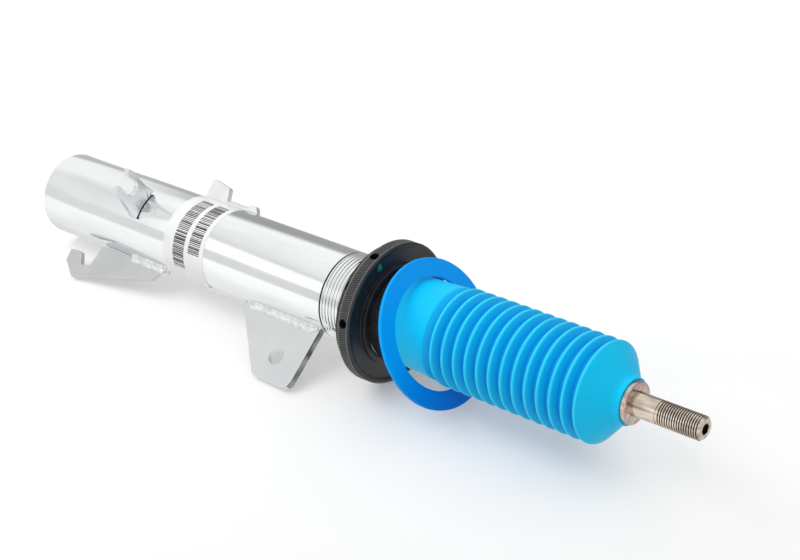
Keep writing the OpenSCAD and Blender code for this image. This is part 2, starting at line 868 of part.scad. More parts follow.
strut_tube();
tube_foot();
link_plate();
hose_hook();
line_clip();
rear_bracket();
weld_beads();
lower_guide_bush();
upper_guide_bush();
guide_head();
wiper_seal();
piston_rod();
rod_washer();
rod_nut();
bump_stop();
rebound_stop();
compression_shims();
piston();
piston_band();
rebound_shims();
piston_nut();
damper_tube();
guide_clip();
rod_guide();
rod_seal();
floating_piston();
floating_piston_ring();
end_stud();
boot_washer();
dust_boot();
spring_perch();
lock_ring();
pad_ring();
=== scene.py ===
import json
import math
import random

import bmesh
import bpy
from mathutils import Matrix, Vector


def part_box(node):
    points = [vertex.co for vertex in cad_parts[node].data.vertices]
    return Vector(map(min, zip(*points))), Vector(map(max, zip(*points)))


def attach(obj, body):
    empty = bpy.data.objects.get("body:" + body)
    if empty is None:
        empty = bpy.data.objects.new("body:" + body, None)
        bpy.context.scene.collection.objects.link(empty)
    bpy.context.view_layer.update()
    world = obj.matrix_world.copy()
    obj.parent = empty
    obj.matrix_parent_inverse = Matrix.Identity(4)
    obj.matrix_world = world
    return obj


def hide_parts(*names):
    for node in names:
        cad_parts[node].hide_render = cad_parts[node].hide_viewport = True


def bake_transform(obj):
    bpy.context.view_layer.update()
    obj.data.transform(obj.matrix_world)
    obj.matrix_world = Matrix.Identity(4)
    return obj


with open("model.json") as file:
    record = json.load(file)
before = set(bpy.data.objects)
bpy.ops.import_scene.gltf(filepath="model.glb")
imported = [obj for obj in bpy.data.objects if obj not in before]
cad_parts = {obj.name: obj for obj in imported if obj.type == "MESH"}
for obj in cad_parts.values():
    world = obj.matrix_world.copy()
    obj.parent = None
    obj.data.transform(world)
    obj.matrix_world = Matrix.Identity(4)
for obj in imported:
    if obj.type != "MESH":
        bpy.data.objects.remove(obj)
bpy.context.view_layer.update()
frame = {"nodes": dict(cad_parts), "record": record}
scene = bpy.context.scene
scene.view_settings.view_transform = "Standard"
MM = 0.001

# Camera: looks down on the strut from its stud end and from the side that carries
# the link plate, with the strut running from the upper left to the lower right.
camera_azimuth = math.radians(44.078)
camera_elevation = math.radians(28.975)
camera_roll = math.radians(-5.32)
camera_at = Vector((0.95309, -0.67190, 0.54213))
camera_view, camera_reach = math.radians(24.609), 50
camera_data = bpy.data.cameras.new("camera")
camera = bpy.data.objects.new("camera", camera_data)
scene.collection.objects.link(camera)
camera_turn = (
    Matrix.Rotation(camera_azimuth, 4, "Z")
    @ Matrix.Rotation(math.pi / 2 - camera_elevation, 4, "X")
    @ Matrix.Rotation(camera_roll, 4, "Z")
)
camera.matrix_world = Matrix.Translation(camera_at) @ camera_turn
camera_data.angle = camera_view
camera_data.clip_end = camera_reach
scene.camera = camera

# Floor: a wide pale sheet that the strut lies on with its perch, its link plate and its
# hose hook, so it slopes a little against the strut's axis. Its paint brightens away from
# the camera, and glows in a patch below the stud, so that the shadow there is weak.
floor_reach = 6
floor_grey, patch_grey = (0.73, 0.725, 0.715, 1), (0.42, 0.415, 0.405, 1)
glow_way, glow_from, glow_to = (-0.55, 0.83, 0), -0.60, 0.25
glow_near, glow_far = 0.13, 0.36
patch_at, patch_r0, patch_r1 = (0.49, 0.05, -0.043), 0.045, 0.09
patch_glow = 0.33


def lowest(node):
    """A CAD node's lowest point."""
    return min((v.co for v in frame["nodes"][node].data.vertices), key=lambda co: co.z).copy()


rests = [lowest(node) for node in ("spring_perch", "link_plate", "hose_hook")]
floor_up = (rests[1] - rests[0]).cross(rests[2] - rests[0]).normalized()
if floor_up.z < 0:
    floor_up.negate()
support = min(
    floor_up.dot(v.co)
    for node in ("spring_perch", "link_plate", "hose_hook", "pad_ring")
    for v in frame["nodes"][node].data.vertices
)
floor_turn = Vector((0, 0, 1)).rotation_difference(floor_up).to_matrix().to_4x4()
floor_mesh = bmesh.new()
bmesh.ops.create_grid(floor_mesh, x_segments=1, y_segments=1, size=floor_reach)
bmesh.ops.transform(
    floor_mesh, matrix=Matrix.Translation(floor_up * support) @ floor_turn, verts=floor_mesh.verts[:]
)
floor_data = bpy.data.meshes.new("floor")
floor_mesh.to_mesh(floor_data)
floor_mesh.free()
floor = bpy.data.objects.new("floor", floor_data)
scene.collection.objects.link(floor)
floor.visible_glossy = False


def measure(tree, operation, place, other=(0, 0, 0)):
    """Vector maths on a place: its length, its distance from another, or a product of the two."""
    node = tree.nodes.new("ShaderNodeVectorMath")
    node.operation = operation
    node.inputs[1].default_value = other
    tree.links.new(place, node.inputs[0])
    return node.outputs["Vector" if operation == "MULTIPLY" else "Value"]


def share_between(tree, value, low, high, to_low=0, to_high=1, ease="LINEAR"):
    """How far a value lies from low to high, from 0 to 1 or between two other levels."""
    node = tree.nodes.new("ShaderNodeMapRange")
    node.interpolation_type = ease
    for name, level in (("From Min", low), ("From Max", high), ("To Min", to_low), ("To Max", to_high)):
        node.inputs[name].default_value = level
    tree.links.new(value, node.inputs["Value"])
    return node.outputs["Result"]


def work_out(tree, operation, *values):
    """Maths on numbers and on what other nodes give."""
    node = tree.nodes.new("ShaderNodeMath")
    node.operation = operation
    for socket, value in zip(node.inputs, values):
        if isinstance(value, (int, float)):
            socket.default_value = value
        else:
            tree.links.new(value, socket)
    return node.outputs[0]


def mix_colours(tree, share, first, second):
    """Goes from one colour to another, each of them fixed or given by another node."""
    node = tree.nodes.new("ShaderNodeMix")
    node.data_type = "RGBA"
    tree.links.new(share, node.inputs["Factor"])
    for name, colour in (("A", first), ("B", second)):
        if isinstance(colour, tuple):
            node.inputs[name].default_value = colour
        else:
            tree.links.new(colour, node.inputs[name])
    return node.outputs["Result"]


floor_paint = bpy.data.materials.new("floor_paint")
floor_paint.use_nodes = True
paint_tree = floor_paint.node_tree
paint_shader = paint_tree.nodes["Principled BSDF"]
paint_shader.inputs["Roughness"].default_value = 0.7
paint_shader.inputs["Specular IOR Level"].default_value = 0.05
paint_shader.inputs["Emission Color"].default_value = (1, 1, 1, 1)
paint_place = paint_tree.nodes.new("ShaderNodeTexCoord").outputs["Object"]
paint_seen = paint_tree.nodes.new("ShaderNodeLightPath").outputs["Is Camera Ray"]
paint_depth = measure(paint_tree, "DOT_PRODUCT", paint_place, glow_way)
paint_glow = share_between(paint_tree, paint_depth, glow_from, glow_to, glow_near, glow_far)
patch_reach = measure(paint_tree, "DISTANCE", paint_place, patch_at)
patch_share = share_between(paint_tree, patch_reach, patch_r0, patch_r1, 1, 0, "SMOOTHSTEP")
patch_seen = work_out(paint_tree, "MULTIPLY", paint_seen, patch_share)
paint_shade = mix_colours(paint_tree, patch_seen, floor_grey, patch_grey)
glow_sum = work_out(paint_tree, "MULTIPLY_ADD", patch_share, patch_glow, paint_glow)
glow_seen = work_out(paint_tree, "MULTIPLY", paint_seen, glow_sum)
paint_tree.links.new(paint_shade, paint_shader.inputs["Base Color"])
paint_tree.links.new(glow_seen, paint_shader.inputs["Emission Strength"])
floor_data.materials.append(floor_paint)

# World: a white studio. Bright metal sees long soft boxes in it and the gaps between them,
# which run along the strut as streaks in its plating. All else gets an even light from it.
side_fade, end_fade = (-0.10, 0.10), (-0.74, -0.65)
fill_colour, fill_strength = (0.99, 0.995, 1.0, 1), 0.66
world = bpy.data.worlds.new("studio")
scene.world = world
world.use_nodes = True
sky = world.node_tree
sky.nodes.clear()
sky_out = sky.nodes.new("ShaderNodeOutputWorld")
sky_coords = sky.nodes.new("ShaderNodeTexCoord")
sky_split = sky.nodes.new("ShaderNodeSeparateXYZ")
sky.links.new(sky_coords.outputs["Generated"], sky_split.inputs[0])


def sky_ramp(height, stops):
    """Grey levels at heights over the horizon, given in degrees and placed by their sine."""
    ramp = sky.nodes.new("ShaderNodeValToRGB")
    ramp.color_ramp.interpolation = "LINEAR"
    while len(ramp.color_ramp.elements) > 1:
        ramp.color_ramp.elements.remove(ramp.color_ramp.elements[-1])
    for i, (degrees, grey) in enumerate(stops):
        place = (math.sin(math.radians(degrees)) + 1) / 2
        stop = ramp.color_ramp.elements[0] if i == 0 else ramp.color_ramp.elements.new(place)
        stop.position = place
        stop.color = (grey, grey, grey, 1)
    sky.links.new(height, ramp.inputs[0])
    return ramp.outputs["Color"]


sky_height = work_out(sky, "MULTIPLY_ADD", sky_split.outputs["Z"], 0.5, 0.5)
front_sky = sky_ramp(sky_height, [
    (-90, 0.84), (-36, 0.93), (-24, 1.04), (-2.5, 1.12), (-1, 0.76), (16, 0.76),
    (17.5, 1.15), (37, 1.15), (39.5, 0.74), (48, 0.90), (60, 0.98), (90, 0.98),
])
front_far_sky = sky_ramp(sky_height, [
    (-90, 0.84), (-36, 0.92), (-24, 1.0), (-2.5, 1.05), (-1, 0.78), (16, 0.79),
    (17.5, 0.85), (37, 0.84), (40, 0.80), (48, 0.98), (60, 1.02), (90, 1.0),
])
back_sky = sky_ramp(sky_height, [
    (-90, 0.74), (-30, 0.78), (-18, 0.66), (-10, 0.50), (-4, 0.40), (27, 0.38),
    (32, 0.66), (37, 1.05), (60, 1.0), (90, 0.98),
])
back_far_sky = sky_ramp(sky_height, [
    (-90, 0.74), (-30, 0.78), (-18, 0.70), (-8, 0.56), (4, 0.52), (8, 0.70),
    (13, 1.0), (60, 1.0), (90, 0.98),
])


def sky_blend(axis, low, high, first, second):
    """Fades from one sky to another along an axis of the studio."""
    return mix_colours(sky, share_between(sky, sky_split.outputs[axis], low, high), first, second)


sky_shades = sky_blend(
    "Y", *side_fade,
    sky_blend("X", *end_fade, front_far_sky, front_sky),
    sky_blend("X", *end_fade, back_far_sky, back_sky),
)
sky_shine = sky.nodes.new("ShaderNodeBackground")
sky.links.new(sky_shades, sky_shine.inputs["Color"])
sky_fill = sky.nodes.new("ShaderNodeBackground")
sky_fill.inputs["Color"].default_value = fill_colour
sky_fill.inputs["Strength"].default_value = fill_strength
sky_seen = sky.nodes.new("ShaderNodeBackground")
sky_seen.inputs["Color"].default_value = (1, 1, 1, 1)
sky_path = sky.nodes.new("ShaderNodeLightPath")
sky_gloss = sky.nodes.new("ShaderNodeMixShader")
sky.links.new(sky_path.outputs["Is Glossy Ray"], sky_gloss.inputs[0])
sky.links.new(sky_fill.outputs[0], sky_gloss.inputs[1])
sky.links.new(sky_shine.outputs[0], sky_gloss.inputs[2])
sky_pick = sky.nodes.new("ShaderNodeMixShader")
sky.links.new(sky_path.outputs["Is Camera Ray"], sky_pick.inputs[0])
sky.links.new(sky_gloss.outputs[0], sky_pick.inputs[1])
sky.links.new(sky_seen.outputs[0], sky_pick.inputs[2])
sky.links.new(sky_pick.outputs[0], sky_out.inputs["Surface"])


# Lamps: one large soft box above and to the front left, which shapes the boot's folds,
# and a weaker one above and behind.
def soft_box(name, at, towards, size, power):
    """A lamp that no reflection shows."""
    lamp = bpy.data.lights.new(name, "AREA")
    lamp.shape = "RECTANGLE"
    lamp.size, lamp.size_y = size
    lamp.energy = power
    holder = bpy.data.objects.new(name, lamp)
    scene.collection.objects.link(holder)
    holder.location = at
    holder.rotation_euler = (Vector(towards) - Vector(at)).to_track_quat("-Z", "Y").to_euler()
    holder.visible_glossy = False


soft_box("key_box", at=(-0.3, -0.7, 1.5), towards=(0.25, 0, 0), size=(1.4, 0.9), power=14)
soft_box("top_box", at=(0.5, 0.5, 1.6), towards=(0.3, 0, 0), size=(1.8, 1.6), power=4)

# Strut tube: drawn steel tube, bright zinc plated. Its lower end is turned for the clamp,
# and its upper stretch carries the fine thread for the perch, behind a run-out groove.
# The thread's roots are painted darker than its crests, as painted shade in its grooves.
tube_r = 27.5 * MM
tube_bore = 24.5 * MM
seat_r = 27.2 * MM
seat_end = 50 * MM
seat_slope, seat_ease = 24 * MM, 11 * MM
thread_x = 260.7 * MM
thread_pitch = 2.5 * MM
thread_depth = 0.95 * MM
thread_bevel = 0.25 * MM
runout_w = 1.3 * MM
runout_r = tube_r - 1.1 * MM
runout_edge = 0.3 * MM
root_r0, root_r1 = tube_bore + 1 * MM, tube_r - 0.62 * MM
tube_edge = 0.5 * MM


def add_piece(name, mesh, smooth_angle):
    """Makes a mesh an object, shaded smooth up to an angle in degrees between its faces."""
    data = bpy.data.meshes.new(name)
    mesh.to_mesh(data)
    mesh.free()
    for face in data.polygons:
        face.use_smooth = True
    data.set_sharp_from_angle(angle=math.radians(smooth_angle))
    piece = bpy.data.objects.new(name, data)
    scene.collection.objects.link(piece)
    return piece


def eased(outline, steps=3):
    """Rounds the corners of a closed outline, given as (distance along the axis, radius, corner's reach)."""
    points = []
    for i, (x, r, reach) in enumerate(outline):
        here = Vector((x, r))
        before = Vector(outline[i - 1][:2]) - here
        after = Vector(outline[(i + 1) % len(outline)][:2]) - here
        if not reach:
            points.append(here)
            continue
        start = here + before.normalized() * min(reach, before.length * 0.48)
        end = here + after.normalized() * min(reach, after.length * 0.48)
        for k in range(steps + 1):
            t = k / steps
            points.append(start.lerp(here, t).lerp(here.lerp(end, t), t))
    return points


def spin_outline(mesh, points, steps):
    """Spins a closed outline of (distance along the axis, radius) once about the strut's axis."""
    verts = [mesh.verts.new((x, 0, r)) for x, r in points]
    edges = [mesh.edges.new(pair) for pair in zip(verts, verts[1:] + verts[:1])]
    bmesh.ops.spin(
        mesh, geom=verts + edges, cent=(0, 0, 0), axis=(1, 0, 0), angle=2 * math.pi,
        steps=steps, use_merge=True,
    )
    bmesh.ops.remove_doubles(mesh, verts=mesh.verts[:], dist=1e-7)
    bmesh.ops.recalc_face_normals(mesh, faces=mesh.faces[:])


def thread_shell(x0, x1, crest, pitch, depth, steps, inner, bevel):
    """Closed ring or rod with a helical outside thread, cut off square at both ends."""
    mesh = bmesh.new()
    turns = math.ceil((x1 - x0) / pitch) + 2
    brow = depth * 0.06
    shape = [(0, depth), (0.04, depth), (0.26, brow), (0.34, 0), (0.70, 0), (0.78, brow), (1, depth)]
    start = x0 - pitch * 1.5
    verts = [mesh.verts.new((start + pitch * at, 0, crest - cut)) for at, cut in shape]
    edges = [mesh.edges.new(pair) for pair in zip(verts, verts[1:])]
    bmesh.ops.spin(
        mesh, geom=verts + edges, cent=(0, 0, 0), axis=(1, 0, 0),
        angle=2 * math.pi * turns, steps=steps * turns, dvec=(pitch / steps, 0, 0),
    )
    bmesh.ops.remove_doubles(mesh, verts=mesh.verts[:], dist=pitch * 0.01)
    for x, side in ((x0, -1), (x1, 1)):
        bmesh.ops.bisect_plane(
            mesh, geom=mesh.verts[:] + mesh.edges[:] + mesh.faces[:], dist=1e-7,
            plane_co=(x, 0, 0), plane_no=(side, 0, 0), clear_outer=True,
        )
    bmesh.ops.remove_doubles(mesh, verts=mesh.verts[:], dist=1e-6)
    for v in mesh.verts:
        limit = crest - max(0, v.co.x - (x1 - bevel))
        r = math.hypot(v.co.y, v.co.z)
        if r > limit:
            v.co.yz = v.co.yz * (limit / r)
    rims = []
    for x in (x0, x1):
        rim = [e for e in mesh.edges if e.is_boundary and all(abs(v.co.x - x) < 1e-6 for v in e.verts)]
        made = bmesh.ops.extrude_edge_only(mesh, edges=rim)["geom"]
        for v in (g for g in made if isinstance(g, bmesh.types.BMVert)):
            v.co.yz = v.co.yz.normalized() * inner
        rims += [g for g in made if isinstance(g, bmesh.types.BMEdge) and g.is_boundary]
    if inner:
        bmesh.ops.bridge_loops(mesh, edges=rims)
    bmesh.ops.remove_doubles(mesh, verts=mesh.verts[:], dist=1e-7)
    bmesh.ops.recalc_face_normals(mesh, faces=mesh.faces[:])
    return mesh


def join_mesh(mesh, other):
    """Adds the faces of one mesh to another as a shell of their own."""
    data = bpy.data.meshes.new("joined")
    other.to_mesh(data)
    other.free()
    mesh.from_mesh(data)
    bpy.data.meshes.remove(data)


class Finish:
    """Principled material whose colour, roughness and bump each follow fine noise in Object coordinates."""

    def __init__(self, name, metallic, stretch=(1, 1, 1), specular=0.5):
        self.material = bpy.data.materials.new(name)
        self.material.use_nodes = True
        self.tree = self.material.node_tree
        self.shader = self.tree.nodes["Principled BSDF"]
        self.shader.inputs["Metallic"].default_value = metallic
        self.shader.inputs["Specular IOR Level"].default_value = specular
        self.coords = self.tree.nodes.new("ShaderNodeTexCoord")
        self.place = self.tree.nodes.new("ShaderNodeMapping")
        self.place.inputs["Scale"].default_value = stretch
        self.tree.links.new(self.coords.outputs["Object"], self.place.inputs["Vector"])

    def noise(self, scale, detail=4):
        node = self.tree.nodes.new("ShaderNodeTexNoise")
        node.inputs["Scale"].default_value = scale
        node.inputs["Detail"].default_value = detail
        self.tree.links.new(self.place.outputs["Vector"], node.inputs["Vector"])
        return node.outputs["Fac"]

    def ramp(self, value, stops):
        node = self.tree.nodes.new("ShaderNodeValToRGB")
        while len(node.color_ramp.elements) < len(stops):
            node.color_ramp.elements.new(0.5)
        for element, (place, shade) in zip(node.color_ramp.elements, stops):
            element.position = place
            element.color = (*shade, 1)
        self.tree.links.new(value, node.inputs["Fac"])
        return node.outputs["Color"]

    def shade(self, colour):
        self.tree.links.new(colour, self.shader.inputs["Base Color"])

    def colour(self, value, low, high, spread=(0.35, 0.65)):
        self.shade(self.ramp(value, [(spread[0], low), (spread[1], high)]))

    def roughness(self, value, low, high, spread=(0.3, 0.7)):
        level = share_between(self.tree, value, *spread, low, high)
        self.tree.links.new(level, self.shader.inputs["Roughness"])

    def bump(self, value, height):
        node = self.tree.nodes.new("ShaderNodeBump")
        node.inputs["Distance"].default_value = height
        node.inputs["Strength"].default_value = 0.6
        self.tree.links.new(value, node.inputs["Height"])
        if self.shader.inputs["Normal"].is_linked:
            self.tree.links.new(self.shader.inputs["Normal"].links[0].from_socket, node.inputs["Normal"])
        self.tree.links.new(node.outputs["Normal"], self.shader.inputs["Normal"])


def dress(piece, finish):
    """Gives a whole piece one finish."""
    piece.data.materials.clear()
    piece.data.materials.append(finish.material)


def dress_part(piece, finish, is_part):
    """Gives a further finish to the faces that is_part picks, by face and radius of its middle."""
    piece.data.materials.append(finish.material)
    for face in piece.data.polygons:
        if is_part(face, math.hypot(face.center.y, face.center.z)):
            face.material_index = len(piece.data.materials) - 1


tube_zinc = Finish("tube_zinc", 1.0, stretch=(0.2, 1, 1))
tube_zinc.colour(tube_zinc.noise(70), (0.84, 0.86, 0.865), (0.91, 0.925, 0.93))
tube_zinc.roughness(tube_zinc.noise(260), 0.09, 0.15)
tube_zinc.bump(tube_zinc.noise(1500, 2), 0.000006)

tube_x1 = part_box("strut_tube")[1].x
tube_mesh = bmesh.new()
spin_outline(tube_mesh, eased([
    (0, tube_bore, tube_edge), (thread_x, tube_bore, 0), (thread_x, runout_r, 0),
    (thread_x - runout_w, runout_r, 0), (thread_x - runout_w, tube_r, runout_edge),
    (seat_end + seat_slope, tube_r, seat_ease), (seat_end, seat_r, seat_ease), (0, seat_r, tube_edge),
]), steps=160)
join_mesh(tube_mesh, thread_shell(
    thread_x, tube_x1, tube_r, thread_pitch, thread_depth, steps=128, inner=tube_bore, bevel=thread_bevel,
))
strut_tube = add_piece("threaded_strut_tube", tube_mesh, 35)
dress(strut_tube, tube_zinc)
# Painted shade: a dark zinc on the faces in the thread's roots and in the run-out groove.
root_shade_zinc = Finish("root_shade_zinc", 1.0, stretch=(0.2, 1, 1))
root_shade_zinc.colour(root_shade_zinc.noise(70), (0.20, 0.21, 0.21), (0.34, 0.35, 0.355))
root_shade_zinc.roughness(root_shade_zinc.noise(260), 0.18, 0.30)
dress_part(
    strut_tube, root_shade_zinc, lambda face, r: face.center.x > thread_x - runout_w and root_r0 < r < root_r1
)
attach(strut_tube, "housing")
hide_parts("strut_tube")

# Label: a white paper sticker wrapped round the tube, with two rows of plain bars
# and one corner that has come loose.
label_x0, label_x1 = 121.5 * MM, 158.5 * MM
label_from, label_to = -40, 125
label_t = 0.06 * MM
label_skew = 0.02 * MM
label_steps, label_columns = 66, 12
label_start = math.radians(label_from)
curl_from, curl_length = 0.72, 0.28
curl_turn, curl_span = 24, 16
curl_lift, curl_power = 0.085, 1.6
label_mesh = bmesh.new()
first_line = [
    label_mesh.verts.new((
        label_x0 + (label_x1 - label_x0) * i / label_columns,
        -(tube_r + label_t) * math.cos(label_start), (tube_r + label_t) * math.sin(label_start),
    ))
    for i in range(label_columns + 1)
]
line_edges = [label_mesh.edges.new(pair) for pair in zip(first_line, first_line[1:])]
bmesh.ops.spin(
    label_mesh, geom=first_line + line_edges, cent=(0, 0, 0), axis=(-1, 0, 0),
    angle=math.radians(label_to - label_from), steps=label_steps, use_merge=False,
)
label_uv = label_mesh.loops.layers.uv.new("label")
for face in label_mesh.faces:
    for loop in face.loops:
        co = loop.vert.co
        turn = math.degrees(math.atan2(co.z, -co.y))
        loop[label_uv].uv = ((co.x - label_x0) / MM, math.radians(turn) * tube_r / MM)
for v in label_mesh.verts:
    turn = math.degrees(math.atan2(v.co.z, -v.co.y))
    along = (v.co.x - label_x0) / (label_x1 - label_x0)
    if turn < 0:
        v.co.x -= turn * label_skew * (1 - along)
    curl = max(0, along - curl_from) / curl_length * max(0, -turn - curl_turn) / curl_span
    v.co.yz = v.co.yz * (1 + curl_lift * curl ** curl_power)
bmesh.ops.solidify(label_mesh, geom=label_mesh.faces[:], thickness=-label_t)
label = add_piece("bar_label", label_mesh, 40)

label_paper = Finish("label_paper", 0.0, specular=0.7)
label_paper.roughness(label_paper.noise(400), 0.10, 0.16)
paper_tree = label_paper.tree
paper_uv = paper_tree.nodes.new("ShaderNodeUVMap")
paper_uv.uv_map = "label"
paper_split = paper_tree.nodes.new("ShaderNodeSeparateXYZ")
paper_tree.links.new(paper_uv.outputs["UV"], paper_split.inputs[0])


def paper_math(operation, *values):
    return work_out(paper_tree, operation, *values)


bar_spread, bar_least = 0.58, 0.36


def bar_row(across, width, low, high, pitch, seed):
    """Bars along the strut's axis: one to each step round the tube, of uneven thickness."""
    place = paper_math("MULTIPLY_ADD", paper_split.outputs["Y"], 1 / pitch, seed)
    dice = paper_tree.nodes.new("ShaderNodeTexWhiteNoise")
    dice.noise_dimensions = "1D"
    paper_tree.links.new(paper_math("FLOOR", place), dice.inputs["W"])
    thick = paper_math("MULTIPLY_ADD", dice.outputs["Value"], bar_spread, bar_least)
    inked = paper_math("LESS_THAN", paper_math("FRACT", place), thick)
    in_row = paper_math("COMPARE", paper_split.outputs["X"], across, width / 2)
    in_length = paper_math("COMPARE", paper_split.outputs["Y"], (low + high) / 2, (high - low) / 2)
    return paper_math("MULTIPLY", inked, paper_math("MULTIPLY", in_row, in_length))


bar_length, bar_pitch, row_end = 10.2, 1.15, 48
bar_ink = (0.012, 0.011, 0.011, 1)
bars = paper_math(
    "MAXIMUM",
    bar_row(across=14.2, width=bar_length, low=-5.4, high=row_end, pitch=bar_pitch, seed=3),
    bar_row(across=28.1, width=bar_length, low=7.2, high=row_end, pitch=bar_pitch, seed=40.4),
)
bare_paper = label_paper.ramp(label_paper.noise(90), [(0.3, (0.84, 0.845, 0.85)), (0.7, (0.89, 0.89, 0.895))])
label_paper.shade(mix_colours(paper_tree, bars, bare_paper, bar_ink))
dress(label, label_paper)
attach(label, "housing")


# Welded plates: the link plate, the hose hook, the line clip and the rear bracket are
# stamped from sheet and zinc plated, so their cut edges are slightly rounded. The hose
# hook's zinc is painted darker as painted shade, the rear bracket's paler as painted light,
# and the link plate's cut edge on the side of the stud is painted dark, as a painted
# reflection of the black perch.
def even_shading(piece):
    """Keeps a piece's flat faces evenly lit up to their rounded edges."""
    flat_faces = piece.modifiers.new("flat_faces", "WEIGHTED_NORMAL")
    flat_faces.weight = 100
    flat_faces.keep_sharp = True


def softened_copy(node, name, width, segments=2, angle=30):
    """A CAD node's solid with its sharp edges rounded."""
    mesh = bmesh.new()
    mesh.from_mesh(frame["nodes"][node].data)
    bmesh.ops.remove_doubles(mesh, verts=mesh.verts[:], dist=1e-6)
    bmesh.ops.dissolve_limit(
        mesh, angle_limit=math.radians(1), verts=mesh.verts[:], edges=mesh.edges[:]
    )
    sharp = [
        e for e in mesh.edges
        if len(e.link_faces) == 2 and e.calc_face_angle(0) > math.radians(angle)
    ]
    bmesh.ops.bevel(
        mesh, geom=sharp, offset=width, offset_type="OFFSET", segments=segments,
        profile=0.5, affect="EDGES", material=-1, clamp_overlap=True,
    )
    bmesh.ops.triangulate(mesh, faces=[f for f in mesh.faces if len(f.verts) > 4])
    piece = add_piece(name, mesh, 50)
    even_shading(piece)
    return piece


plate_zinc = Finish("plate_zinc", 1.0)
plate_zinc.colour(plate_zinc.noise(45, 6), (0.76, 0.78, 0.785), (0.81, 0.825, 0.83))
plate_zinc.roughness(plate_zinc.noise(120, 2), 0.22, 0.27)
plate_zinc.bump(plate_zinc.noise(900, 2), 0.000003)
# Painted shade: a darker copy of the plate zinc, for the hose hook.
shaded_plate_zinc = Finish("shaded_plate_zinc", 1.0)
shaded_plate_zinc.colour(shaded_plate_zinc.noise(45, 6), (0.62, 0.635, 0.64), (0.68, 0.695, 0.70))
shaded_plate_zinc.roughness(shaded_plate_zinc.noise(120, 2), 0.26, 0.32)
shaded_plate_zinc.bump(shaded_plate_zinc.noise(900, 2), 0.000003)
# Painted light: a paler copy of the plate zinc, for the rear bracket on top.
lit_plate_zinc = Finish("lit_plate_zinc", 1.0)
lit_plate_zinc.colour(lit_plate_zinc.noise(45, 6), (0.88, 0.89, 0.89), (0.94, 0.945, 0.945))
lit_plate_zinc.roughness(lit_plate_zinc.noise(120, 2), 0.28, 0.34)
# Painted reflection: a dark zinc for the link plate's cut edge on the stud's side, as if it mirrored the
# black perch.
edge_reflection_zinc = Finish("edge_reflection_zinc", 1.0)
edge_reflection_zinc.colour(edge_reflection_zinc.noise(110, 3), (0.10, 0.105, 0.105), (0.42, 0.43, 0.43))
edge_reflection_zinc.roughness(edge_reflection_zinc.noise(300), 0.25, 0.38)
edge_lean, hole_rim = 0.75, 8 * MM
for node, name, rounding, finish in (
    ("link_plate", "rounded_link_plate", 0.5 * MM, plate_zinc),
    ("hose_hook", "rounded_hose_hook", 0.5 * MM, shaded_plate_zinc),
    ("rear_bracket", "rounded_rear_bracket", 0.4 * MM, lit_plate_zinc),
):
    plate = softened_copy(node, name, rounding)
    dress(plate, finish)
    if node == "link_plate":
        link_hole = Vector(next(m for m in frame["record"]["mounts"] if m["name"] == "link_hole")["pos_m"])
        dress_part(plate, edge_reflection_zinc, lambda face, r: (
            face.normal.x > edge_lean and (face.center - link_hole).length > hole_rim
        ))
    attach(plate, "housing")
    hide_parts(node)


# Line clip: a small forked plate that stands on the tube, with its bead behind it. The
# foot isn't welded in front, so a thin gap stays open there, and its inside is painted
# near black as painted shade.
def cut_out(piece, tools, smooth_angle):
    """Cuts a mesh of closed tools out of a piece."""
    data = bpy.data.meshes.new("tools")
    bmesh.ops.recalc_face_normals(tools, faces=tools.faces[:])
    tools.to_mesh(data)
    tools.free()
    cutter = bpy.data.objects.new("tools", data)
    scene.collection.objects.link(cutter)
    hole = piece.modifiers.new("hole", "BOOLEAN")
    hole.operation = "DIFFERENCE"
    hole.solver = "EXACT"
    hole.object = cutter
    bpy.context.view_layer.update()
    cut = bpy.data.meshes.new_from_object(piece.evaluated_get(bpy.context.evaluated_depsgraph_get()))
    piece.modifiers.clear()
    piece.data = cut
    for face in cut.polygons:
        face.use_smooth = True
    cut.set_sharp_from_angle(angle=math.radians(smooth_angle))
    bpy.data.objects.remove(cutter)


clip_x0, clip_x1 = (corner.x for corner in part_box("line_clip"))
clip_gap_r = tube_r + 0.7 * MM
clip_gap_x = clip_x0 + 1.2 * MM
gap_reach = 6 * MM
line_clip = softened_copy("line_clip", "rounded_line_clip", 0.4 * MM)
gap_tool = bmesh.new()
bmesh.ops.create_cone(
    gap_tool, cap_ends=True, segments=128, radius1=clip_gap_r, radius2=clip_gap_r, depth=gap_reach,
    matrix=Matrix.Translation((clip_gap_x + gap_reach / 2, 0, 0)) @ Matrix.Rotation(math.pi / 2, 4, "Y"),
)
cut_out(line_clip, gap_tool, 50)
even_shading(line_clip)
dress(line_clip, plate_zinc)
# Painted shade: a near-black, rough finish on the faces inside the gap under the clip's foot.
gap_painted_shade = Finish("gap_painted_shade", 0.0, specular=0.1)
gap_painted_shade.colour(gap_painted_shade.noise(600), (0.02, 0.024, 0.022), (0.05, 0.055, 0.05))
gap_painted_shade.roughness(gap_painted_shade.noise(600), 0.7, 0.9)
gap_shade_x0, gap_shade_x1 = clip_gap_x - 0.01 * MM, clip_x1 - 0.3 * MM
gap_shade_r = clip_gap_r + 0.02 * MM
dress_part(
    line_clip, gap_painted_shade, lambda face, r: gap_shade_x0 < face.center.x < gap_shade_x1 and r < gap_shade_r
)
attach(line_clip, "housing")
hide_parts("line_clip")

# Weld beads: short MIG beads along the plates' feet, plated over together with the tube.
# Each is a row of overlapping ripples, uneven in width like a hand-laid bead.
bead_random = random.Random(7)
bead_sway, bead_swell, bead_calm = 0.05, 0.045, 0.3
bead_end, bead_least = 0.07, 0.22
ripple_dip, ripple_lag = 0.10, 0.9
beads_mesh = bmesh.new()


